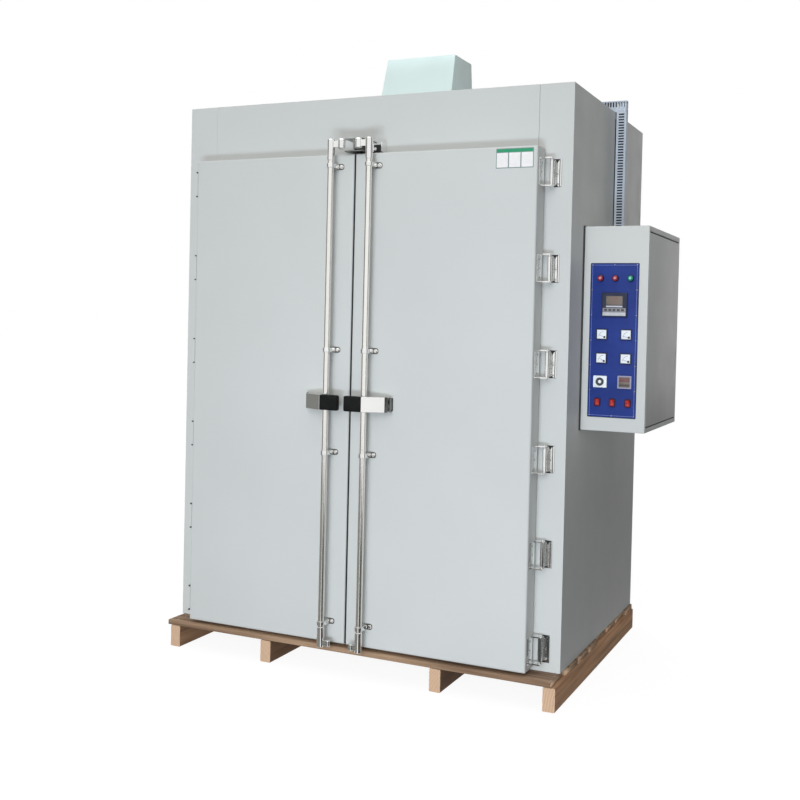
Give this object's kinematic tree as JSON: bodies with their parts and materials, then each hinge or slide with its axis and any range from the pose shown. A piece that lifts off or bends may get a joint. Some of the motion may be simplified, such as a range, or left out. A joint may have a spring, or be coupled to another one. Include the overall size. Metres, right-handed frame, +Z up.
{
  "type": "industrial oven",
  "caption": "Tall insulated batch oven with hinged double doors, lock bars with lever handles, side control box and roof housing, standing on a wooden pallet.",
  "frame": {"origin": "middle of the bottom of the outer box, at the floor under the pallet", "axes": "+Z up; -Y towards the person who opens the doors; +X towards the control box"},
  "size_m": [1.963, 1.341, 2.5866],
  "materials": {
    "body_paint": "satin warm light grey, fine orange peel",
    "mint_paint": "satin pale mint",
    "blue_paint": "satin deep blue",
    "stainless": "brushed",
    "chrome": "bright plated",
    "silicone": "matte",
    "pallet_wood": "rough sawn, weathered",
    "black_plastic": "fine grained",
    "white_plastic": "smooth",
    "grey_plastic": "smooth",
    "red_plastic": "glossy, lit lens",
    "green_plastic": "glossy, lit lens",
    "duct_plastic": "smooth"
  },
  "bodies": {
    "root": {"pallet_deck": "pallet_wood", "pallet_bearer_1": "pallet_wood", "pallet_bearer_2": "pallet_wood", "pallet_bearer_3": "pallet_wood", "pallet_bearer_4": "pallet_wood", "wall_left": "body_paint", "wall_right": "body_paint", "wall_back": "body_paint", "roof_panel": "body_paint", "floor_panel": "body_paint", "header": "body_paint", "sill": "body_paint", "chamber_liner": "stainless", "door_gasket": "silicone", "hinge_left_1": "chrome", "hinge_left_2": "chrome", "hinge_left_3": "chrome", "hinge_left_4": "chrome", "hinge_left_5": "chrome", "hinge_left_6": "chrome", "hinge_right_1": "chrome", "hinge_right_2": "chrome", "hinge_right_3": "chrome", "hinge_right_4": "chrome", "hinge_right_5": "chrome", "hinge_right_6": "chrome", "cam_keeper": "chrome", "header_bracket": "chrome", "control_box": "body_paint", "control_box_cover": "body_paint", "instrument_panel": "blue_paint", "temperature_controller": "black_plastic", "meter_1": "white_plastic", "meter_2": "white_plastic", "meter_3": "white_plastic", "meter_4": "white_plastic", "timer": "grey_plastic", "buzzer": "white_plastic", "lamp_1": "red_plastic", "lamp_2": "red_plastic", "lamp_3": "green_plastic", "rocker_switch_1": "red_plastic", "rocker_switch_2": "red_plastic", "rocker_switch_3": "red_plastic", "trunking_riser": "duct_plastic", "trunking_roof_run": "duct_plastic", "roof_housing": "mint_paint"},
    "left_door": {"left_door": "body_paint", "left_door_pan": "stainless", "left_handle_bracket": "chrome"},
    "right_door": {"right_door": "body_paint", "right_door_pan": "stainless", "right_handle_bracket": "chrome"},
    "left_lock_bar": {"left_lock_bar": "chrome"},
    "right_lock_bar": {"right_lock_bar": "chrome"},
    "left_handle": {"left_handle_lever": "chrome", "left_handle_grip": "black_plastic"},
    "right_handle": {"right_handle_lever": "chrome", "right_handle_grip": "black_plastic"}
  },
  "joints": [
    {"name": "left_door_hinge", "type": "hinge", "parent": "root", "child": "left_door", "pos_m": [-0.9055, -0.5155, 1.2123], "axis": [0, 0, -1], "range_deg": [0, 110]},
    {"name": "right_door_hinge", "type": "hinge", "parent": "root", "child": "right_door", "pos_m": [0.6585, -0.5155, 1.2123], "axis": [0, 0, 1], "range_deg": [0, 110]},
    {"name": "left_bar_turn", "type": "hinge", "parent": "left_door", "child": "left_lock_bar", "pos_m": [-0.2075, -0.6315, 1.0893], "axis": [0, 0, -1], "range_deg": [0, 80]},
    {"name": "right_bar_turn", "type": "hinge", "parent": "right_door", "child": "right_lock_bar", "pos_m": [-0.0395, -0.6315, 1.0893], "axis": [0, 0, 1], "range_deg": [0, 80]},
    {"name": "left_handle_pivot", "type": "hinge", "parent": "left_door", "child": "left_handle", "pos_m": [-0.3065, -0.5995, 1.0893], "axis": [0, 0, -1], "range_deg": [0, 80]},
    {"name": "right_handle_pivot", "type": "hinge", "parent": "right_door", "child": "right_handle", "pos_m": [0.0595, -0.5995, 1.0893], "axis": [0, 0, 1], "range_deg": [0, 80]}
  ],
  "couplings": [
    {"joint": "left_handle_pivot", "follows": "left_bar_turn", "ratio": 1},
    {"joint": "right_handle_pivot", "follows": "right_bar_turn", "ratio": 1}
  ]
}
